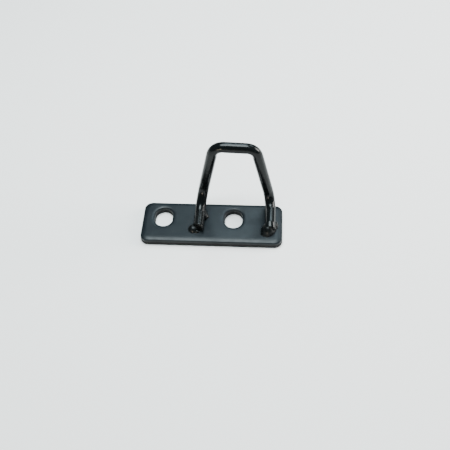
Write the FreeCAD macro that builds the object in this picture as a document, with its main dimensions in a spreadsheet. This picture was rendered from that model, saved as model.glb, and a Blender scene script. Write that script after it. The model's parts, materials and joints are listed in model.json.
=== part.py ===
import FreeCAD, Part
import math
import os

import Sketcher

# A latch striker of the u-bolt kind: a flat plate with two bolting slots, and a hoop of round rod
# whose two legs lie on the plate, turn up at its back edge and close in a tapered loop.
# Origin: the middle of the plate's underside. +X along the plate, +Y to its back edge, +Z up.

doc = FreeCAD.newDocument("striker")

# ---------------------------------------------------------------- driving dimensions, mm and degrees
SIZES = {
    # flat plate
    "plate_length": 95.8,
    "plate_width": 33.4,
    "plate_thickness": 5.3,
    "corner_radius": 5.4,
    "edge_roll": 1.5,
    # bolting slots, which run across the plate
    "slot_width": 12.0,
    "slot_length": 15.6,
    "slot_pitch": 48.0,
    "slot_middle": -9.5,
    "slot_back": 3.7,
    "rim_roll": 1.0,
    "break_out": 0.4,
    # rod hoop
    "rod_diameter": 7.2,
    "hoop_middle": 15.5,
    "leg_pitch": 48.0,
    "left_leg_front": -6.8,
    "right_leg_front": -7.8,
    "hoop_plane": 18.1,
    "crown_pitch": 27.0,
    "hoop_height": 62.8,
    "crown_drop": 1.2,
    "left_knee_radius": 15.0,
    "right_knee_radius": 10.5,
    "crown_radius": 7.5,
    "end_chamfer": 0.4,
    # the crevice under a leg that weld metal doesn't reach
    "crevice_width": 3.2,
}

# Each weld bead is made of lumps, and each lump is an ellipsoid whose middle lies on the plate's top.
# "beside" is how far the lump's middle is to the right of its leg's centre line, "along" is its place
# along Y, and the rest are its half sizes.
BEADS = {
    "weld_left_front": {
        "leg": "left",
        "lumps": [{"beside": -3.6, "along": -6.3, "half_x": 3.9, "half_y": 3.6, "half_z": 3.4}],
    },
    "weld_left_rear": {
        "leg": "left",
        "lumps": [{"beside": 3.4, "along": 5.3, "half_x": 2.9, "half_y": 4.3, "half_z": 3.2}],
    },
    "weld_right": {
        "leg": "right",
        "lumps": [
            {"beside": -1.1, "along": -6.7, "half_x": 4.9, "half_y": 4.9, "half_z": 4.8},
            {"beside": 3.0, "along": -2.3, "half_x": 3.1, "half_y": 4.2, "half_z": 3.1},
        ],
    },
}


def lump_alias(bead, index, measure):
    """The sheet's name for one measure of one lump of a bead."""
    return f"{bead}_{'first' if index == 0 else 'second'}_{measure}"


for bead, description in BEADS.items():
    for index, lump in enumerate(description["lumps"]):
        for measure, value in lump.items():
            SIZES[lump_alias(bead, index, measure)] = value

sheet = doc.addObject("Spreadsheet::Sheet", "Sizes")
for row, (alias, value) in enumerate(SIZES.items(), start=1):
    sheet.set(f"A{row}", alias)
    sheet.set(f"B{row}", str(value))
    sheet.setAlias(f"B{row}", alias)
doc.recompute()


def size(alias):
    """The sheet's value of one driving dimension."""
    return float(sheet.get(alias))


# ---------------------------------------------------------------- helpers for bodies and sketches
def new_body(name):
    body = doc.addObject("PartDesign::Body", name)
    body.Label = name
    return body


def new_sketch(body, name):
    """An empty sketch on the body's own XY plane."""
    sketch = body.newObject("Sketcher::SketchObject", name)
    plane = next(f for f in body.Origin.OriginFeatures if f.Role == "XY_Plane")
    sketch.AttachmentSupport = (plane, [""])
    sketch.MapMode = "FlatFace"
    return sketch


def bind(sketch, constraint, name, expression):
    """Adds a named dimension to a sketch and ties it to the sheet."""
    index = sketch.addConstraint(constraint)
    sketch.renameConstraint(index, name)
    sketch.setExpression(f"Constraints.{name}", expression)


def join_tangent(sketch, first, first_end, second, second_end):
    sketch.addConstraint(Sketcher.Constraint("Tangent", first, first_end, second, second_end))


def add_rounded_rectangle(sketch, length, width, radius):
    """A rectangle about the origin with four equal round corners."""
    x, y = length / 2, width / 2
    corners = [(x - radius, y - radius), (radius - x, y - radius), (radius - x, radius - y), (x - radius, radius - y)]
    arcs = []
    for quarter, (cx, cy) in enumerate(corners):
        circle = Part.Circle(FreeCAD.Vector(cx, cy, 0), FreeCAD.Vector(0, 0, 1), radius)
        arc = Part.ArcOfCircle(circle, quarter * math.pi / 2, (quarter + 1) * math.pi / 2)
        arcs.append(sketch.addGeometry(arc))
    sides = []
    for index, arc in enumerate(arcs):
        following = arcs[(index + 1) % 4]
        start = sketch.getPoint(arc, 2)
        end = sketch.getPoint(following, 1)
        side = sketch.addGeometry(Part.LineSegment(start, end))
        join_tangent(sketch, arc, 2, side, 1)
        join_tangent(sketch, side, 2, following, 1)
        sketch.addConstraint(Sketcher.Constraint("Horizontal" if index % 2 == 0 else "Vertical", side))
        sides.append(side)
    for arc in arcs[1:]:
        sketch.addConstraint(Sketcher.Constraint("Equal", arcs[0], arc))
    sketch.addConstraint(Sketcher.Constraint("Symmetric", arcs[0], 3, arcs[2], 3, -1, 1))
    return arcs, sides


def add_cross_slot(sketch, middle_x, middle_y, width, length):
    """A slot with half-round ends that runs along Y."""
    radius = width / 2
    reach = length / 2 - radius
    z_axis = FreeCAD.Vector(0, 0, 1)
    back_circle = Part.Circle(FreeCAD.Vector(middle_x, middle_y + reach, 0), z_axis, radius)
    front_circle = Part.Circle(FreeCAD.Vector(middle_x, middle_y - reach, 0), z_axis, radius)
    back = sketch.addGeometry(Part.ArcOfCircle(back_circle, 0, math.pi))
    front = sketch.addGeometry(Part.ArcOfCircle(front_circle, math.pi, 2 * math.pi))
    left = sketch.addGeometry(Part.LineSegment(sketch.getPoint(back, 2), sketch.getPoint(front, 1)))
    right = sketch.addGeometry(Part.LineSegment(sketch.getPoint(front, 2), sketch.getPoint(back, 1)))
    join_tangent(sketch, back, 2, left, 1)
    join_tangent(sketch, left, 2, front, 1)
    join_tangent(sketch, front, 2, right, 1)
    join_tangent(sketch, right, 2, back, 1)
    sketch.addConstraint(Sketcher.Constraint("Vertical", left))
    return back, front


def edges_at_height(shape, height, kept):
    """Names of the edges that lie flat at this height and pass the test on their middle point."""
    names = []
    for index, edge in enumerate(shape.Edges, start=1):
        box = edge.BoundBox
        flat = abs(box.ZMin - height) < 1e-6 and abs(box.ZMax - height) < 1e-6
        if flat and kept(box.Center):
            names.append(f"Edge{index}")
    return names


# ---------------------------------------------------------------- base_plate
def build_plate():
    """A plate blanked from sheet, with rolled upper edges and two punched slots that open out below."""
    body = new_body("base_plate")

    outline = new_sketch(body, "PlateOutline")
    arcs, sides = add_rounded_rectangle(outline, size("plate_length"), size("plate_width"), size("corner_radius"))
    bind(outline, Sketcher.Constraint("Radius", arcs[0], size("corner_radius")), "corner", "Sizes.corner_radius")
    span = size("plate_length") - 2 * size("corner_radius")
    bind(outline, Sketcher.Constraint("DistanceX", sides[0], 2, sides[0], 1, span), "straight_x",
         "Sizes.plate_length - 2 * Sizes.corner_radius")
    span = size("plate_width") - 2 * size("corner_radius")
    bind(outline, Sketcher.Constraint("DistanceY", sides[1], 2, sides[1], 1, span), "straight_y",
         "Sizes.plate_width - 2 * Sizes.corner_radius")

    pad = body.newObject("PartDesign::Pad", "PlatePad")
    pad.Profile = outline
    pad.setExpression("Length", "Sizes.plate_thickness")
    doc.recompute()
    solid_volume = pad.Shape.Volume

    slots = new_sketch(body, "SlotOutlines")
    for side, name in ((-1, "left"), (1, "right")):
        middle = size("slot_middle") + side * size("slot_pitch") / 2
        back, front = add_cross_slot(slots, middle, size("slot_back"), size("slot_width"), size("slot_length"))
        reach = (size("slot_length") - size("slot_width")) / 2
        bind(slots, Sketcher.Constraint("Radius", back, size("slot_width") / 2), f"{name}_radius",
             "Sizes.slot_width / 2")
        bind(slots, Sketcher.Constraint("DistanceX", -1, 1, back, 3, middle), f"{name}_middle",
             f"Sizes.slot_middle + {side} * Sizes.slot_pitch / 2")
        bind(slots, Sketcher.Constraint("DistanceY", -1, 1, back, 3, size("slot_back") + reach), f"{name}_back",
             "Sizes.slot_back + (Sizes.slot_length - Sizes.slot_width) / 2")
        bind(slots, Sketcher.Constraint("DistanceY", front, 3, back, 3, 2 * reach), f"{name}_straight",
             "Sizes.slot_length - Sizes.slot_width")

    pocket = body.newObject("PartDesign::Pocket", "SlotPocket")
    pocket.Profile = slots
    pocket.Type = "ThroughAll"
    pocket.Reversed = True
    doc.recompute()
    if pocket.Shape.Volume > solid_volume - 2 * size("slot_width") ** 2:
        raise RuntimeError("the slots cut nothing")

    # outside edges sit outside the slots' band of the plate
    half_width = size("plate_width") / 2
    half_length = size("plate_length") / 2
    rim = size("corner_radius")

    def on_outside(point):
        return abs(point.x) > half_length - rim or abs(point.y) > half_width - rim / 4

    top = size("plate_thickness")
    rolled = body.newObject("PartDesign::Fillet", "EdgeRoll")
    rolled.Base = (pocket, edges_at_height(pocket.Shape, top, on_outside))
    rolled.setExpression("Radius", "Sizes.edge_roll")
    doc.recompute()

    rims = body.newObject("PartDesign::Fillet", "RimRoll")
    rims.Base = (rolled, edges_at_height(rolled.Shape, top, lambda point: is_slot_edge(point)))
    rims.setExpression("Radius", "Sizes.rim_roll")
    doc.recompute()

    flare = body.newObject("PartDesign::Chamfer", "BreakOut")
    flare.Base = (rims, edges_at_height(rims.Shape, 0.0, lambda point: is_slot_edge(point)))
    flare.setExpression("Size", "Sizes.break_out")
    body.Tip = flare
    doc.recompute()
    return body


def is_slot_edge(point):
    """Whether a point lies within the outline of either slot, rim included."""
    inside_y = abs(point.y - size("slot_back")) < size("slot_length") / 2 + 0.1
    middles = [size("slot_middle") + side * size("slot_pitch") / 2 for side in (-1, 1)]
    return inside_y and any(abs(point.x - middle) < size("slot_width") / 2 + 0.1 for middle in middles)


# ---------------------------------------------------------------- hoop
def corner_arc(before, corner, after, radius):
    """The arc that rounds one corner of a path, with its two tangent points."""
    back = (before - corner).normalize()
    ahead = (after - corner).normalize()
    half = back.getAngle(ahead) / 2
    start = corner + back * (radius / math.tan(half))
    end = corner + ahead * (radius / math.tan(half))
    bisector = (back + ahead).normalize()
    middle = corner + bisector * (radius / math.sin(half) - radius)
    return start, Part.Arc(start, middle, end).toShape(), end


def hoop_centre_line():
    """Leg, knee, upright, crown corner, top bar, and the same again down to the other leg."""
    rod_height = size("plate_thickness") + size("rod_diameter") / 2
    crown_height = size("hoop_height") - size("rod_diameter") / 2
    half_legs = size("leg_pitch") / 2
    half_crown = size("crown_pitch") / 2
    plane = size("hoop_plane")
    corners = [
        (-half_legs, size("left_leg_front"), rod_height),
        (-half_legs, plane, rod_height),
        (-half_crown, plane, crown_height),
        (half_crown, plane, crown_height - size("crown_drop")),
        (half_legs, plane, rod_height),
        (half_legs, size("right_leg_front"), rod_height),
    ]
    shift = FreeCAD.Vector(size("hoop_middle"), 0, 0)
    points = [FreeCAD.Vector(*corner) + shift for corner in corners]
    crown = size("crown_radius")
    radii = [size("left_knee_radius"), crown, crown, size("right_knee_radius")]

    edges = []
    position = points[0]
    for before, corner, after, radius in zip(points, points[1:], points[2:], radii):
        start, arc, end = corner_arc(before, corner, after, radius)
        edges.append(Part.LineSegment(position, start).toShape())
        edges.append(arc)
        position = end
    edges.append(Part.LineSegment(position, points[-1]).toShape())
    return Part.Wire(edges)


def build_hoop():
    """One length of round rod, bent cold and cut square with its ends lightly chamfered."""
    path = doc.addObject("Part::Feature", "hoop_path")
    path.Shape = hoop_centre_line()

    section = doc.addObject("Part::Circle", "rod_section")
    section.setExpression("Radius", "Sizes.rod_diameter / 2")
    section.setExpression("Placement.Base.x", "Sizes.hoop_middle - Sizes.leg_pitch / 2")
    section.setExpression("Placement.Base.y", "Sizes.left_leg_front")
    section.setExpression("Placement.Base.z", "Sizes.plate_thickness + Sizes.rod_diameter / 2")
    section.Placement.Rotation = FreeCAD.Rotation(FreeCAD.Vector(1, 0, 0), -90)
    doc.recompute()

    rod = doc.addObject("Part::Sweep", "bent_rod")
    rod.Sections = [section]
    rod.Spine = (path, [f"Edge{n}" for n in range(1, len(path.Shape.Edges) + 1)])
    rod.Solid = True
    rod.Frenet = False
    doc.recompute()

    expected = path.Shape.Length * math.pi * (size("rod_diameter") / 2) ** 2
    if abs(rod.Shape.Volume - expected) > 0.01 * expected:
        raise RuntimeError("the swept rod does not have its section times its length")

    ends = []
    for index, edge in enumerate(rod.Shape.Edges, start=1):
        box = edge.BoundBox
        for front in (size("left_leg_front"), size("right_leg_front")):
            if abs(box.YMin - front) < 1e-4 and abs(box.YMax - front) < 1e-4:
                ends.append(index)
    hoop = doc.addObject("Part::Chamfer", "hoop")
    hoop.Label = "hoop"
    hoop.Base = rod
    hoop.Edges = [(index, size("end_chamfer"), size("end_chamfer")) for index in ends]
    doc.recompute()
    return hoop


# ---------------------------------------------------------------- weld beads
SIDE_OF_LEG = {"left": -1, "right": 1}


def build_crevice(leg):
    """The thin gap beside a leg's line of contact, which stays free of weld metal."""
    box = doc.addObject("Part::Box", f"{leg}_crevice")
    box.setExpression("Length", "Sizes.crevice_width")
    box.setExpression("Width", f"Sizes.hoop_plane - Sizes.{leg}_leg_front")
    box.setExpression("Height", "Sizes.rod_diameter / 2")
    leg_middle = f"Sizes.hoop_middle + {SIDE_OF_LEG[leg]} * Sizes.leg_pitch / 2"
    box.setExpression("Placement.Base.x", f"{leg_middle} - Sizes.crevice_width / 2")
    box.setExpression("Placement.Base.y", f"Sizes.{leg}_leg_front")
    box.setExpression("Placement.Base.z", "Sizes.plate_thickness")
    return box


def build_lump(bead, index, leg):
    """One ellipsoid of a bead, with its middle on the plate's top."""
    lump = doc.addObject("Part::Ellipsoid", f"{bead}_lump_{index + 1}")
    for socket, measure in (("Radius1", "half_z"), ("Radius2", "half_x"), ("Radius3", "half_y")):
        lump.setExpression(socket, f"Sizes.{lump_alias(bead, index, measure)}")
    leg_middle = f"Sizes.hoop_middle + {SIDE_OF_LEG[leg]} * Sizes.leg_pitch / 2"
    lump.setExpression("Placement.Base.x", f"{leg_middle} + Sizes.{lump_alias(bead, index, 'beside')}")
    lump.setExpression("Placement.Base.y", f"Sizes.{lump_alias(bead, index, 'along')}")
    lump.setExpression("Placement.Base.z", "Sizes.plate_thickness")
    return lump


def build_bead(name, plate, hoop, crevices):
    """A bead's lumps joined, less whatever of the plate, the rod and the crevices they run into."""
    leg = BEADS[name]["leg"]
    lumps = [build_lump(name, index, leg) for index in range(len(BEADS[name]["lumps"]))]
    mass = lumps[0]
    if len(lumps) > 1:
        mass = doc.addObject("Part::MultiFuse", name + "_mass")
        mass.Shapes = lumps
    tools = doc.addObject("Part::MultiFuse", name + "_tools")
    tools.Shapes = [plate, hoop] + crevices
    bead = doc.addObject("Part::Cut", name)
    bead.Label = name
    bead.Base = mass
    bead.Tool = tools
    doc.recompute()
    return bead


# ---------------------------------------------------------------- build, check, write
plate = build_plate()
hoop = build_hoop()
crevices = [build_crevice(leg) for leg in SIDE_OF_LEG]
beads = [build_bead(name, plate, hoop, crevices) for name in BEADS]

doc.recompute()
for item in doc.Objects:
    if "Invalid" in item.State or "Error" in item.State:
        raise RuntimeError(f"{item.Name} failed to compute")

os.makedirs("parts", exist_ok=True)
for piece in [plate, hoop] + beads:
    shape = piece.Shape
    if shape.isNull() or not shape.isValid() or len(shape.Solids) != 1:
        raise RuntimeError(f"{piece.Label} is not one valid solid ({len(shape.Solids)} solids)")
    shape.exportStep(f"parts/{piece.Label}.step")
    print(f"{piece.Label}: {shape.Volume:.1f} mm3")
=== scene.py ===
import json
import math

import bmesh
import bpy
from mathutils import Matrix, Vector, geometry, noise


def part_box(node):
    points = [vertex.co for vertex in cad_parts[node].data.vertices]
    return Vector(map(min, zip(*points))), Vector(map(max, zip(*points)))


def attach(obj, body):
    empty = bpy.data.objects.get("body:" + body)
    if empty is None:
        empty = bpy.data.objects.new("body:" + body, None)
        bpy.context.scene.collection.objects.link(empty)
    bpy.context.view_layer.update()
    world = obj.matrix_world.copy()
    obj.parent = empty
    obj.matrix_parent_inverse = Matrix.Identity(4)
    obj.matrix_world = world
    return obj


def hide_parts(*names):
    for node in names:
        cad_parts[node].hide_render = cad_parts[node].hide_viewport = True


# A latch striker: a slotted flat bar, a hoop of round rod and the weld beads that join them.
# Meshes are worked out in millimetres and scaled to metres when they are made.

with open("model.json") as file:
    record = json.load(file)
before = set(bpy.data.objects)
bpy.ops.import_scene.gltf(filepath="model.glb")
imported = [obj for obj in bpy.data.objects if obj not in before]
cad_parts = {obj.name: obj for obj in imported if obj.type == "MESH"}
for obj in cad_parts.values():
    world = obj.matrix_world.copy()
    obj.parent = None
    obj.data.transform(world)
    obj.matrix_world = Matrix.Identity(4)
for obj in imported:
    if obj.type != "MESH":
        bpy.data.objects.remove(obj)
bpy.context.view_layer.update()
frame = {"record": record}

MM = 0.001


def corners_mm(node):
    """A CAD node's lowest and highest corners, in millimetres."""
    return [Vector(corner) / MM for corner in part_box(node)]


def mount(name):
    """One mount of the part's record."""
    return next(m for m in frame["record"]["mounts"] if m["name"] == name)


PLATE_LOW, PLATE_HIGH = corners_mm("base_plate")
PLATE_TOP = PLATE_HIGH.z
HOOP_LOW, HOOP_HIGH = corners_mm("hoop")

# ---------------------------------------------------------------- camera
CAMERA_TARGET = Vector((0.009, -0.0023, PLATE_TOP * MM))
CAMERA_AZIMUTH = math.radians(5.7)
CAMERA_ELEVATION = math.radians(51.4)
CAMERA_ROLL = math.radians(-2.87)
CAMERA_DISTANCE = 0.458
CAMERA_LENS_MM = 54.0
CAMERA_SENSOR_MM = 36.0


def add_camera():
    towards_camera = Vector((
        math.sin(CAMERA_AZIMUTH) * math.cos(CAMERA_ELEVATION),
        -math.cos(CAMERA_AZIMUTH) * math.cos(CAMERA_ELEVATION),
        math.sin(CAMERA_ELEVATION),
    ))
    data = bpy.data.cameras.new("camera")
    data.lens = CAMERA_LENS_MM
    data.sensor_width = CAMERA_SENSOR_MM
    camera = bpy.data.objects.new("camera", data)
    bpy.context.scene.collection.objects.link(camera)
    turn = (-towards_camera).to_track_quat("-Z", "Y").to_matrix().to_4x4()
    place = Matrix.Translation(CAMERA_TARGET + towards_camera * CAMERA_DISTANCE)
    camera.matrix_world = place @ turn @ Matrix.Rotation(CAMERA_ROLL, 4, "Z")
    bpy.context.scene.camera = camera


# ---------------------------------------------------------------- light and floor
WORLD_COLOUR = (1.0, 0.97, 0.93, 1)
WORLD_STRENGTH = 0.15
FLOOR_COLOUR = (0.93, 0.89, 0.87, 1)
FLOOR_ROUGHNESS = 0.9
FLOOR_HALF = 3.0
# name, place, the point it faces, size (all in metres), power in watts, colour
LIGHTS = [
    ("overhead", (-0.03, 0.10, 0.9), (0, 0, 0), (0.5, 0.5), 20.0, (0.84, 0.97, 1.0)),
    ("back", (0.04, 0.62, 0.78), (0, 0, 0), (0.22, 0.22), 2.6, (0.70, 0.90, 1.0)),
    ("back_right", (0.40, 0.60, 0.66), (0, 0, 0), (0.22, 0.22), 1.8, (0.80, 0.95, 1.0)),
    ("right", (0.9, 0.25, 0.35), (0, 0, 0), (0.5, 0.5), 15.0, (1.0, 0.98, 0.95)),
    ("front", (-0.24, -0.9, 0.10), (0, 0, 0.01), (0.2, 0.12), 2.6, (1.0, 0.86, 0.66)),
]


def add_area(name, place, target, size, power, colour):
    data = bpy.data.lights.new(name, "AREA")
    data.shape = "RECTANGLE"
    data.size, data.size_y = size
    data.energy = power
    data.color = colour
    light = bpy.data.objects.new(name, data)
    light.location = place
    direction = Vector(target) - Vector(place)
    light.rotation_euler = direction.to_track_quat("-Z", "Y").to_euler()
    bpy.context.scene.collection.objects.link(light)


def add_world():
    world = bpy.data.worlds.new("studio")
    world.use_nodes = True
    background = world.node_tree.nodes["Background"]
    background.inputs["Color"].default_value = WORLD_COLOUR
    background.inputs["Strength"].default_value = WORLD_STRENGTH
    bpy.context.scene.world = world


def add_floor():
    signs = [(-1, -1), (1, -1), (1, 1), (-1, 1)]
    outline = [(x * FLOOR_HALF, y * FLOOR_HALF, 0) for x, y in signs]
    mesh = bpy.data.meshes.new("floor")
    mesh.from_pydata(outline, [], [(0, 1, 2, 3)])
    floor = bpy.data.objects.new("floor", mesh)
    bpy.context.scene.collection.objects.link(floor)
    material = bpy.data.materials.new("floor")
    material.use_nodes = True
    shader = material.node_tree.nodes["Principled BSDF"]
    shader.inputs["Base Color"].default_value = FLOOR_COLOUR
    shader.inputs["Roughness"].default_value = FLOOR_ROUGHNESS
    mesh.materials.append(material)


# ---------------------------------------------------------------- materials
# a Mix node's colour sockets go by number, because its sockets of other kinds have the same names
MIX_FIRST = 6
MIX_SECOND = 7
MIX_RESULT = 2

# noises: waves per metre, detail and roughness
CLOUD_NOISE = (90.0, 4.0, 0.6)
FLAKE_NOISE = (1400.0, 3.0, 0.7)
DUST_NOISE = (2600.0, 1.0, 0.5)
GRIT_NOISE = (4200.0, 2.0, 0.6)
GRAIN_NOISE = (1500.0, 3.0, 0.6)
# detail and roughness of two more, whose scale is each coating's own
SMEAR_DETAIL = (3.0, 0.55)
PEEL_DETAIL = (2.0, 0.45)
# the span of a noise's values that is stretched
CLOUD_SPAN = (0.35, 0.65)
FLAKE_SPAN = (0.35, 0.6)
DUST_SPAN = (0.76, 0.83)
SMEAR_SPAN = (0.3, 0.7)

DUST_COLOUR = (0.32, 0.31, 0.28)
# the grain's noise is drawn out along the plate
GRAIN_STRETCH = (0.06, 1.0, 1.0)
# how much of a thin place is left where the flakes cover it most, and how much rougher it is
FLAKE_LEAST = 0.25
THIN_ROUGHNESS = 0.42
ROUGHNESS_DIP = 0.05
# height of each relief at full strength, in metres
PEEL_HEIGHT = 0.0002
GRIT_HEIGHT = 0.00006
GRAIN_HEIGHT = 0.00008
GRIT_STRENGTH = 0.10


def add_node(tree, kind, settings=None, **inputs):
    """A shader node with its settings, and its sockets set or linked by name."""
    node = tree.nodes.new(kind)
    for name, value in (settings or {}).items():
        setattr(node, name, value)
    for name, value in inputs.items():
        socket = node.inputs[name.replace("_", " ")]
        if isinstance(value, bpy.types.NodeSocket):
            tree.links.new(value, socket)
        else:
            socket.default_value = value
    return node


def noise_of(tree, where, scale, detail, roughness):
    settings = {"noise_dimensions": "3D"}
    node = add_node(tree, "ShaderNodeTexNoise", settings, Vector=where, Scale=scale,
                    Detail=detail, Roughness=roughness)
    return node.outputs["Fac"]


def remap(tree, value, span, to_low, to_high):
    """The value stretched from its span to another and kept inside it."""
    return add_node(tree, "ShaderNodeMapRange", None, Value=value, From_Min=span[0],
                    From_Max=span[1], To_Min=to_low, To_Max=to_high).outputs["Result"]


def mix_colour(tree, share, first, second):
    node = add_node(tree, "ShaderNodeMix", {"data_type": "RGBA"})
    tree.links.new(share, node.inputs["Factor"])
    for index, value in ((MIX_FIRST, first), (MIX_SECOND, second)):
        if isinstance(value, bpy.types.NodeSocket):
            tree.links.new(value, node.inputs[index])
        else:
            node.inputs[index].default_value = (*value, 1)
    return node.outputs[MIX_RESULT]


def coat(name, dark, light, worn, roughness, uneven, smear_mm, specular, peel_mm, peel_depth,
         grain=0.0, speck=0.5):
    """Black coating over steel: uneven colour, orange peel, dust specks and worn brownish places.

    The mesh says where the coating is thin and rough with its "thin" attribute.
    """
    material = bpy.data.materials.new(name)
    material.use_nodes = True
    tree = material.node_tree
    shader = tree.nodes["Principled BSDF"]
    where = add_node(tree, "ShaderNodeTexCoord").outputs["Object"]
    along_node = add_node(tree, "ShaderNodeMapping", None, Vector=where, Scale=GRAIN_STRETCH)
    along = along_node.outputs["Vector"]
    thin = add_node(tree, "ShaderNodeAttribute", {"attribute_name": "thin"}).outputs["Fac"]

    cloud = noise_of(tree, where, *CLOUD_NOISE)
    colour = mix_colour(tree, remap(tree, cloud, CLOUD_SPAN, 0.0, 1.0), dark, light)
    flakes = noise_of(tree, where, *FLAKE_NOISE)
    ragged_thin = add_node(tree, "ShaderNodeMath", {"operation": "MULTIPLY"})
    tree.links.new(thin, ragged_thin.inputs[0])
    tree.links.new(remap(tree, flakes, FLAKE_SPAN, FLAKE_LEAST, 1.0), ragged_thin.inputs[1])
    colour = mix_colour(tree, ragged_thin.outputs[0], colour, worn)
    dust = remap(tree, noise_of(tree, where, *DUST_NOISE), DUST_SPAN, 0.0, speck)
    colour = mix_colour(tree, dust, colour, DUST_COLOUR)
    tree.links.new(colour, shader.inputs["Base Color"])

    smear = noise_of(tree, where, 1.0 / (smear_mm * MM), *SMEAR_DETAIL)
    rough = remap(tree, smear, SMEAR_SPAN, roughness - ROUGHNESS_DIP, roughness + uneven)
    rough_thin = add_node(tree, "ShaderNodeMath", {"operation": "MULTIPLY_ADD"})
    tree.links.new(ragged_thin.outputs[0], rough_thin.inputs[0])
    rough_thin.inputs[1].default_value = THIN_ROUGHNESS
    tree.links.new(rough, rough_thin.inputs[2])
    tree.links.new(rough_thin.outputs[0], shader.inputs["Roughness"])
    shader.inputs["Specular IOR Level"].default_value = specular

    peel = noise_of(tree, where, 1.0 / (peel_mm * MM), *PEEL_DETAIL)
    normal = add_node(tree, "ShaderNodeBump", None, Strength=peel_depth, Distance=PEEL_HEIGHT,
                      Height=peel).outputs["Normal"]
    grit = noise_of(tree, where, *GRIT_NOISE)
    normal = add_node(tree, "ShaderNodeBump", None, Strength=GRIT_STRENGTH, Distance=GRIT_HEIGHT,
                      Height=grit, Normal=normal).outputs["Normal"]
    if grain:
        lines = noise_of(tree, along, *GRAIN_NOISE)
        normal = add_node(tree, "ShaderNodeBump", None, Strength=grain, Distance=GRAIN_HEIGHT,
                          Height=lines, Normal=normal).outputs["Normal"]
    tree.links.new(normal, shader.inputs["Normal"])
    return material


PLATE_COAT = coat(
    "plate_coat",
    dark=(0.0026, 0.0050, 0.0070), light=(0.0044, 0.0074, 0.0098), worn=(0.0040, 0.0032, 0.0024),
    roughness=0.36, uneven=0.06, smear_mm=6.0, specular=0.18,
    peel_mm=1.3, peel_depth=0.16, grain=0.25,
)
ROD_COAT = coat(
    "rod_coat",
    dark=(0.0022, 0.0032, 0.0036), light=(0.0038, 0.0050, 0.0054), worn=(0.0048, 0.0040, 0.0032),
    roughness=0.17, uneven=0.06, smear_mm=6.0, specular=0.155,
    peel_mm=1.6, peel_depth=0.18, speck=0.25,
)
WELD_COAT = coat(
    "weld_coat",
    dark=(0.0020, 0.0030, 0.0032), light=(0.0034, 0.0045, 0.0048), worn=(0.0048, 0.0040, 0.0032),
    roughness=0.22, uneven=0.26, smear_mm=1.8, specular=0.17,
    peel_mm=0.9, peel_depth=0.3, speck=0.1,
)


# ---------------------------------------------------------------- pieces
class Shell:
    """The points and faces of one mesh in millimetres, and how thin its coating is at each point."""

    def __init__(self):
        self.points = []
        self.faces = []
        self.thin = []

    def add_point(self, point, thinness):
        """Adds a point and gives back its number."""
        self.points.append(point)
        self.thin.append(thinness)
        return len(self.points) - 1

    def join(self, first, second):
        """Adds the quads between two closed rings with as many points."""
        count = len(first)
        for i in range(count):
            after = (i + 1) % count
            self.faces.append((first[i], first[after], second[after], second[i]))


def add_piece(name, shell, material, node):
    """A smooth mesh piece that stands for one CAD node."""
    mesh = bpy.data.meshes.new(name)
    mesh.from_pydata([Vector(point) * MM for point in shell.points], [], shell.faces)
    mesh.validate()
    if shell.thin:
        attribute = mesh.attributes.new("thin", "FLOAT", "POINT")
        attribute.data.foreach_set("value", shell.thin)
    mesh.polygons.foreach_set("use_smooth", [True] * len(mesh.polygons))
    tidy = bmesh.new()
    tidy.from_mesh(mesh)
    bmesh.ops.recalc_face_normals(tidy, faces=tidy.faces)
    tidy.to_mesh(mesh)
    tidy.free()
    mesh.materials.append(material)
    piece = bpy.data.objects.new(name, mesh)
    bpy.context.scene.collection.objects.link(piece)
    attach(piece, "root")
    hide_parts(node)


# ---------------------------------------------------------------- flat bar
HALF_LENGTH = (PLATE_HIGH.x - PLATE_LOW.x) / 2
HALF_WIDTH = (PLATE_HIGH.y - PLATE_LOW.y) / 2
SLOT_DIMS = mount("bolt_slots")["dims"]
SLOT_RADIUS = SLOT_DIMS["hole_r_mm"]
SLOT_HALF_LENGTH = SLOT_DIMS["slot_length_mm"] / 2
SLOT_HALF_PITCH = Vector((SLOT_DIMS["spacing_x_mm"] / 2, 0))
SLOTS_MIDDLE = Vector(mount("bolt_slots")["pos_m"][:2]) / MM
SLOT_MIDDLES = [SLOTS_MIDDLE - SLOT_HALF_PITCH, SLOTS_MIDDLE + SLOT_HALF_PITCH]

CORNER_RADIUS = 5.4
CORNER_ROUND = 0.5
CORNER_STEPS = 5
BOTTOM_BREAK = 0.3
SHEAR_STEP = 0.12
FLAT_SPACING = 0.9
FLAT_MARGIN = 0.5
# a mode of Blender's triangulation, and how near two of its points are taken as one
FILL_INSIDE_OUTLINE = 1
TOUCHING = 1e-6
# steps along a quarter arc, and along a straight side that runs along X or along Y
OUTLINE_STEPS = (14, (110, 30))
SLOT_STEPS = (16, (0, 6))

# how far in from an edge the top begins to sag, and how low it is at the edge
FRONT_SAG = (3.9, 0.75)
BACK_SAG = (2.6, 0.7)
END_SAG = (3.6, 0.8)
SLOT_SAG = (2.2, 0.45)
WAVE_HEIGHT = 0.035
WAVE_LENGTH = 12

# The sheared edge below its rounded corner: a band that leans in to a groove, then the rough
# fracture, which stands proud. A row says how far it is inside the outline, at what share of
# the top's height, how far above that, and how thin the coating is.
SHEARED_BAND = [
    (SHEAR_STEP, 0.72, 0.0, 0.6),
    (SHEAR_STEP + 0.06, 0.56, 0.0, 0.7),
    (SHEAR_STEP + 0.14, 0.50, 0.0, 0.8),
    (SHEAR_STEP - 0.02, 0.43, 0.0, 0.8),
    (SHEAR_STEP - 0.08, 0.32, 0.0, 0.7),
    (0.0, 0.22, 0.0, 0.9),
    (0.0, 0.0, BOTTOM_BREAK, 0.6),
    (0.3 * BOTTOM_BREAK, 0.0, 0.3 * BOTTOM_BREAK, 0.5),
    (BOTTOM_BREAK, 0.0, 0.0, 0.3),
]
# the shares of the height between which the band is ragged, and its waves: height and waves per mm
RAGGED_SHARES = (0.1, 0.7)
RAGGED_WAVES = [(0.16, 0.9), (0.08, 3.1)]


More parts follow.
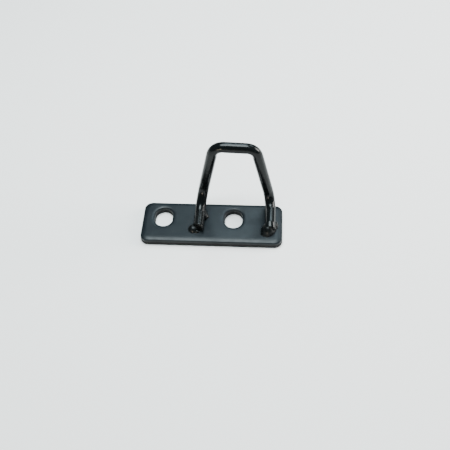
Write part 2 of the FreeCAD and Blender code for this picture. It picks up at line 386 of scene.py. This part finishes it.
def rounded_outline(middle, half_x, half_y, radius, arc_steps, side_steps):
    """Points anticlockwise round a rectangle with round corners; a side of no length has no steps."""
    straight_x = half_x - radius
    straight_y = half_y - radius
    corners = [(straight_x, straight_y), (-straight_x, straight_y),
               (-straight_x, -straight_y), (straight_x, -straight_y)]
    points = []
    for quarter, corner in enumerate(corners):
        for step in range(arc_steps):
            angle = (quarter + step / arc_steps) * math.pi / 2
            x = corner[0] + radius * math.cos(angle)
            y = corner[1] + radius * math.sin(angle)
            points.append(Vector((x, y)))
        following = corners[(quarter + 1) % 4]
        end_angle = (quarter + 1) * math.pi / 2
        rim = Vector((radius * math.cos(end_angle), radius * math.sin(end_angle)))
        steps = side_steps[quarter % 2]
        for step in range(steps):
            points.append(Vector(corner).lerp(Vector(following), step / steps) + rim)
    return [point + middle for point in points]


def edge_profile():
    """The rows of the whole edge, from the rim of the top to the rim of the underside."""
    corner = []
    for step in range(CORNER_STEPS + 1):
        angle = step / CORNER_STEPS * math.pi / 2
        inset = SHEAR_STEP + CORNER_ROUND * (1 - math.sin(angle))
        corner.append((inset, 1.0, -CORNER_ROUND * (1 - math.cos(angle)), 0.0))
    return corner + SHEARED_BAND


def from_slots(place):
    """Distance from the nearest slot's wall, negative inside the slot."""
    gaps = []
    for middle in SLOT_MIDDLES:
        reach = max(0.0, abs(place.y - middle.y) - (SLOT_HALF_LENGTH - SLOT_RADIUS))
        gaps.append(math.hypot(place.x - middle.x, reach) - SLOT_RADIUS)
    return min(gaps)


def past_arc_centre(place):
    """How far a place is beyond the nearest corner arc's centre, along X and along Y."""
    return (max(0.0, abs(place.x) - (HALF_LENGTH - CORNER_RADIUS)),
            max(0.0, abs(place.y) - (HALF_WIDTH - CORNER_RADIUS)))


def sag(from_edge, reach_and_depth):
    """How much the top has sunk at a distance from an edge."""
    reach, depth = reach_and_depth
    return depth * max(0.0, 1 - from_edge / reach) ** 2


def top_height(place):
    """Height of the plate's top, which sinks towards every edge and waves a little."""
    past = past_arc_centre(place)
    from_arc = CORNER_RADIUS - math.hypot(*past) if all(past) else HALF_LENGTH
    sunk = max(
        sag(min(place.y + HALF_WIDTH, from_arc), FRONT_SAG),
        sag(HALF_WIDTH - place.y, BACK_SAG),
        sag(min(HALF_LENGTH - abs(place.x), from_arc), END_SAG),
        sag(from_slots(place), SLOT_SAG),
    )
    waves = WAVE_HEIGHT * (1 + noise.noise(Vector((place.x, place.y, 0)) / WAVE_LENGTH))
    return PLATE_TOP - sunk - waves


def add_plate_ring(shell, outline, share, offset, thinness):
    """A ring at a share of the top's height plus an offset; in the sheared band it is ragged."""
    ring = []
    for point in outline:
        height = share * top_height(point) + offset
        if RAGGED_SHARES[0] < share < RAGGED_SHARES[1]:
            place = Vector((point.x, point.y, height))
            height += sum(depth * noise.noise(place * waves) for depth, waves in RAGGED_WAVES)
        ring.append(shell.add_point(Vector((point.x, point.y, height)), thinness))
    return ring


def add_plate_edge(shell, middle, half_x, half_y, radius, outward, steps):
    """The sheared edge round the plate (outward 1) or a slot (-1): its top and bottom rings."""
    rings = []
    for inset, share, offset, thinness in edge_profile():
        shift = inset * outward
        outline = rounded_outline(middle, half_x - shift, half_y - shift, radius - shift, *steps)
        rings.append(add_plate_ring(shell, outline, share, offset, thinness))
    for upper, lower in zip(rings, rings[1:]):
        shell.join(upper, lower)
    return rings[0], rings[-1]


def flat_grid():
    """Staggered places over the plate, clear of its corners and slots."""
    grid = []
    for column in range(int(2 * HALF_LENGTH / FLAT_SPACING)):
        for row in range(int(2 * HALF_WIDTH / FLAT_SPACING)):
            place = Vector((
                -HALF_LENGTH + (column + 0.5 + 0.5 * (row % 2)) * FLAT_SPACING,
                -HALF_WIDTH + (row + 0.5) * FLAT_SPACING,
            ))
            from_arc = CORNER_RADIUS - math.hypot(*past_arc_centre(place))
            if min(from_arc, from_slots(place)) > CORNER_ROUND + FLAT_MARGIN:
                grid.append(place)
    return grid


def fill_flat(shell, loops, grid, height_at):
    """Triangles from the outline's loop to the slots' loops, through the grid's places."""
    numbers = [number for loop in loops for number in loop]
    flat = [Vector(shell.points[number][:2]) for number in numbers]
    edges = []
    for loop in loops:
        start = len(edges)
        edges += [(start + i, start + (i + 1) % len(loop)) for i in range(len(loop))]
    for place in grid:
        numbers.append(shell.add_point(Vector((place.x, place.y, height_at(place))), 0.0))
        flat.append(place)
    places, _, triangles, origins, _, _ = geometry.delaunay_2d_cdt(
        flat, edges, [], FILL_INSIDE_OUTLINE, TOUCHING)
    rim = from_slots(places[len(loops[0])])
    for triangle in triangles:
        centre = sum((places[corner] for corner in triangle), Vector((0, 0))) / 3
        if from_slots(centre) > rim:
            shell.faces.append(tuple(numbers[origins[corner][0]] for corner in triangle))


def build_plate():
    shell = Shell()
    borders = [add_plate_edge(shell, Vector((0, 0)), HALF_LENGTH, HALF_WIDTH, CORNER_RADIUS, 1,
                              OUTLINE_STEPS)]
    for middle in SLOT_MIDDLES:
        borders.append(add_plate_edge(shell, middle, SLOT_RADIUS, SLOT_HALF_LENGTH, SLOT_RADIUS,
                                      -1, SLOT_STEPS))
    top_loops, bottom_loops = zip(*borders)
    grid = flat_grid()
    fill_flat(shell, top_loops, grid, top_height)
    fill_flat(shell, bottom_loops, grid, lambda place: 0.0)
    add_piece("flat_bar", shell, PLATE_COAT, "base_plate")


# ---------------------------------------------------------------- bent rod
STRIKER_BAR = mount("striker_bar")
ROD_RADIUS = STRIKER_BAR["dims"]["r_mm"]
ROD_HEIGHT = PLATE_TOP + ROD_RADIUS
HOOP_PLANE = STRIKER_BAR["pos_m"][1] / MM
LEFT_LEG_X = HOOP_LOW.x + ROD_RADIUS
RIGHT_LEG_X = HOOP_HIGH.x - ROD_RADIUS
HOOP_MIDDLE = (LEFT_LEG_X + RIGHT_LEG_X) / 2
# the legs start level here, while the CAD's left leg starts 1 mm further back
LEFT_LEG_FRONT = HOOP_LOW.y
RIGHT_LEG_FRONT = -7.8
CROWN_PITCH = 27.0
CROWN_DROP = 1.2
CROWN_HEIGHT = STRIKER_BAR["pos_m"][2] / MM + CROWN_DROP / 2
LEFT_KNEE_RADIUS = 15.0
RIGHT_KNEE_RADIUS = 10.5
CROWN_RADIUS = 7.5
RING_SPACING = 0.55
RING_POINTS = 72

# how many rings to each side a bend is measured over, how much it flattens the rod, and the
# bend (rod radius over bend radius) below which the rod counts as straight
BEND_REACH = 4
BEND_OVAL = 0.10
STRAIGHT = 1e-3
# the rod's surface is this far inside the CAD's, and uneven: height and length of its waves
ROD_INSET = 0.06
ROD_WAVES = [(0.035, 8), (0.016, 2.3)]

END_ROLL = 0.6
END_THINNESS = 0.25
# the slant of the left end, in mm forward per mm across, and how far back it reaches
END_SKEW = 0.45
SKEW_REACH = 6.0
# the Y at which the right end begins to slope down, and the share of its upper half lost in front
PRESS_START = -3.7
PRESS_DEPTH = 0.42
# a cut face: shares of its radius that have a ring, its roughness in mm and in waves per mm
FACE_SHARES = (0.8, 0.55, 0.3)
FACE_ROUGHNESS = 0.10
FACE_WAVES = 1.7
FACE_THINNESS = 0.3
# how much welding has worn the left leg's coating, up to what Y, fading over what length before
# it, and up to what height
SCORCH_DEPTH = 0.3
SCORCH_END = 9.0
SCORCH_FADE = 6.0
SCORCH_TOP = 14.0


def rounded_path(corners, radii, spacing):
    """Points along straight runs joined by tangent arcs."""
    points = []
    start = corners[0]
    for before, corner, after, radius in zip(corners, corners[1:], corners[2:], radii):
        back = (before - corner).normalized()
        ahead = (after - corner).normalized()
        half = back.angle(ahead) / 2
        arc_start = corner + back * (radius / math.tan(half))
        arc_end = corner + ahead * (radius / math.tan(half))
        centre = corner + (back + ahead).normalized() * (radius / math.sin(half))
        steps = max(1, round((arc_start - start).length / spacing))
        points += [start.lerp(arc_start, step / steps) for step in range(steps)]
        turn = (arc_start - centre).rotation_difference(arc_end - centre)
        steps = round(turn.angle * radius / spacing)
        for step in range(steps):
            part = Matrix.Rotation(turn.angle * step / steps, 3, turn.axis)
            points.append(centre + part @ (arc_start - centre))
        start = arc_end
    steps = max(1, round((corners[-1] - start).length / spacing))
    points += [start.lerp(corners[-1], step / steps) for step in range(steps + 1)]
    return points


def hoop_path():
    half = CROWN_PITCH / 2
    corners = [
        Vector((LEFT_LEG_X, LEFT_LEG_FRONT, ROD_HEIGHT)),
        Vector((LEFT_LEG_X, HOOP_PLANE, ROD_HEIGHT)),
        Vector((HOOP_MIDDLE - half, HOOP_PLANE, CROWN_HEIGHT)),
        Vector((HOOP_MIDDLE + half, HOOP_PLANE, CROWN_HEIGHT - CROWN_DROP)),
        Vector((RIGHT_LEG_X, HOOP_PLANE, ROD_HEIGHT)),
        Vector((RIGHT_LEG_X, RIGHT_LEG_FRONT, ROD_HEIGHT)),
    ]
    radii = [LEFT_KNEE_RADIUS, CROWN_RADIUS, CROWN_RADIUS, RIGHT_KNEE_RADIUS]
    return rounded_path(corners, radii, RING_SPACING)


def path_tangents(path):
    last = len(path) - 1
    return [(path[min(i + 1, last)] - path[max(i - 1, 0)]).normalized() for i in range(last + 1)]


def path_curves(tangents):
    """At each point a vector towards the middle of the bend, one over the bend's radius long."""
    last = len(tangents) - 1
    curves = []
    for i in range(last + 1):
        low = max(i - BEND_REACH, 0)
        high = min(i + BEND_REACH, last)
        curves.append((tangents[high] - tangents[low]) / ((high - low) * RING_SPACING))
    return curves


def path_distances(path):
    """How far along the path each point is."""
    distances = [0.0]
    for first, second in zip(path, path[1:]):
        distances.append(distances[-1] + (second - first).length)
    return distances


def scorch(spot):
    """How thin welding has left the coating at a spot of the rod."""
    if spot.x >= HOOP_MIDDLE or spot.z >= SCORCH_TOP:
        return 0.0
    return SCORCH_DEPTH * min(max(0.0, SCORCH_END - spot.y) / SCORCH_FADE, 1.0)


def add_rod_ring(shell, place, side, upward, curve, from_end):
    """A ring round the rod: flattened in a bend, uneven, and closing in where an end rolls over."""
    gap = max(0.0, 1 - from_end / END_ROLL)
    shrink = END_ROLL * (1 - math.sqrt(1 - gap * gap))
    bend = curve.length * ROD_RADIUS
    inward = curve.normalized() if bend > STRAIGHT else upward
    ring = []
    for step in range(RING_POINTS):
        angle = 2 * math.pi * step / RING_POINTS
        out = side * math.cos(angle) + upward * math.sin(angle)
        oval = BEND_OVAL * bend * out.dot(inward) ** 2
        spot = place + out * ROD_RADIUS
        uneven = sum(height * noise.noise(spot / length) for height, length in ROD_WAVES)
        radius = ROD_RADIUS * (1 - oval) - ROD_INSET + uneven - shrink
        thinness = max(scorch(spot), END_THINNESS if gap > 0 else 0.0)
        ring.append(shell.add_point(place + out * radius, thinness))
    return ring


def close_end(shell, ring, outward):
    """The rough cut face over an end's last ring."""
    centre = sum((shell.points[number] for number in ring), Vector()) / len(ring)
    outer = ring
    for share in FACE_SHARES:
        inner = []
        for number in ring:
            place = centre.lerp(shell.points[number], share)
            rough = outward * FACE_ROUGHNESS * noise.noise(place * FACE_WAVES)
            inner.append(shell.add_point(place + rough, FACE_THINNESS))
        shell.join(outer, inner)
        outer = inner
    shell.faces.append(tuple(outer))


def skew_left_end(point):
    """The left leg is cut askew: its right side runs further forward."""
    share = 1 - min(max(0.0, point.y - LEFT_LEG_FRONT) / SKEW_REACH, 1.0)
    return point - Vector((0, END_SKEW * (point.x - LEFT_LEG_X) * share, 0))


def press_right_end(point):
    """The right leg's end is pressed down, so its top slopes to the front."""
    pressed = min(max(0.0, PRESS_START - point.y) / (PRESS_START - RIGHT_LEG_FRONT), 1.0)
    height = ROD_HEIGHT + (point.z - ROD_HEIGHT) * (1 - PRESS_DEPTH * pressed)
    return Vector((point.x, point.y, height))


def build_rod():
    path = hoop_path()
    tangents = path_tangents(path)
    distances = path_distances(path)
    shell = Shell()
    rings = []
    side = Vector((1, 0, 0))
    for place, tangent, curve, distance in zip(path, tangents, path_curves(tangents), distances):
        side = (side - tangent * side.dot(tangent)).normalized()
        upward = tangent.cross(side)
        from_end = min(distance, distances[-1] - distance)
        rings.append(add_rod_ring(shell, place, side, upward, curve, from_end))
    for first, second in zip(rings, rings[1:]):
        shell.join(first, second)
    close_end(shell, rings[0], -tangents[0])
    close_end(shell, rings[-1], tangents[-1])

    for number, point in enumerate(shell.points):
        if point.z > ROD_HEIGHT + 2 * ROD_RADIUS:
            continue
        if point.x < HOOP_MIDDLE:
            shell.points[number] = skew_left_end(point)
        elif point.z > ROD_HEIGHT:
            shell.points[number] = press_right_end(point)
    add_piece("bent_rod", shell, ROD_COAT, "hoop")


# ---------------------------------------------------------------- weld beads
MELT_VOXEL = 0.2
FLOW_FACTOR = 0.5
FLOW_STEPS = 14
# height and length of the ripples, and how far each bead's pattern lies from the last one's
RIPPLES = [(0.09, 1.9), (0.018, 0.7)]
RIPPLE_DRIFT = 11.3
WELD_SINK = 0.3


def lump(x, y, height, *radii):
    """A ball of weld metal: its middle, its height over the plate's top, and one or three radii."""
    return Vector((x, y, PLATE_TOP + height)), Vector(radii * 3 if len(radii) == 1 else radii)


WELD_LUMPS = {
    "weld_left_front": [
        lump(-12.2, -6.5, 0.6, 3.5, 3.2, 2.4),
        lump(-11.9, -6.7, 0.0, 3.8, 3.4, 2.4),
        lump(-10.9, -4.2, 2.0, 1.7),
        lump(-9.9, -6.1, 1.8, 1.5),
        lump(-9.6, -8.7, 0.2, 1.9, 1.3, 1.2),
    ],
    "weld_left_rear": [
        lump(-5.3, 4.9, 0.0, 2.4, 3.8, 2.6),
        lump(-4.0, 4.4, 0.2, 1.7, 1.3, 1.3),
        lump(-5.6, 2.9, 2.6, 1.6, 1.8, 2.3),
        lump(-5.9, 7.3, 1.8, 1.5, 2.3, 2.3),
    ],
    "weld_right": [
        lump(38.2, -5.9, 0.0, 4.5, 5.2, 5.6),
        lump(35.5, -6.6, 0.0, 2.3, 3.9, 2.6),
        lump(43.0, -1.7, 0.0, 2.1, 3.3, 2.8),
        lump(41.6, -4.0, 0.4, 2.0, 2.6, 2.6),
        lump(34.6, -9.0, -0.3, 1.5, 1.5, 1.3),
        lump(35.9, -10.0, -0.1, 1.3),
        lump(37.2, -10.5, 0.0, 1.2),
        lump(38.5, -10.4, 0.1, 1.2),
        lump(39.8, -9.7, 0.2, 1.2),
        lump(40.9, -8.6, 0.4, 1.2),
        lump(41.8, -7.1, 0.5, 1.3),
        lump(42.6, -5.3, 0.7, 1.3),
        lump(43.1, -3.2, 1.0, 1.3),
    ],
}


def melt(name, lumps):
    """The lumps' common skin, smoothed: its points, normals and faces."""
    blank = bmesh.new()
    for middle, radii in lumps:
        place = Matrix.Translation(middle) @ Matrix.Diagonal((*radii, 1))
        bmesh.ops.create_icosphere(blank, subdivisions=4, radius=1.0, matrix=place)
    mesh = bpy.data.meshes.new(name + "_blank")
    blank.to_mesh(mesh)
    blank.free()
    shape = bpy.data.objects.new(name + "_blank", mesh)
    bpy.context.scene.collection.objects.link(shape)
    remesh = shape.modifiers.new("melt", "REMESH")
    remesh.mode = "VOXEL"
    remesh.voxel_size = MELT_VOXEL
    smooth = shape.modifiers.new("flow", "SMOOTH")
    smooth.factor = FLOW_FACTOR
    smooth.iterations = FLOW_STEPS
    shaped = shape.evaluated_get(bpy.context.evaluated_depsgraph_get()).to_mesh()
    points = [vertex.co.copy() for vertex in shaped.vertices]
    normals = [vertex.normal.copy() for vertex in shaped.vertices]
    faces = [tuple(polygon.vertices) for polygon in shaped.polygons]
    shape.to_mesh_clear()
    bpy.data.objects.remove(shape)
    return points, normals, faces


def build_weld(name, lumps, seed):
    """Lumps melted into one rippled skin that is flat where it goes into the plate."""
    points, normals, faces = melt(name, lumps)
    drift = Vector((seed, 2 * seed, 3 * seed))
    shell = Shell()
    shell.faces = faces
    for point, normal in zip(points, normals):
        ripple = sum(height * noise.noise(point / length + drift) for height, length in RIPPLES)
        point += normal * ripple
        point.z = max(point.z, PLATE_TOP - WELD_SINK)
        shell.points.append(point)
    add_piece(name + "_bead", shell, WELD_COAT, name)


# ---------------------------------------------------------------- everything
add_camera()
for light in LIGHTS:
    add_area(*light)
add_world()
add_floor()

build_plate()
build_rod()
for number, (name, lumps) in enumerate(WELD_LUMPS.items(), start=1):
    build_weld(name, lumps, RIPPLE_DRIFT * number)
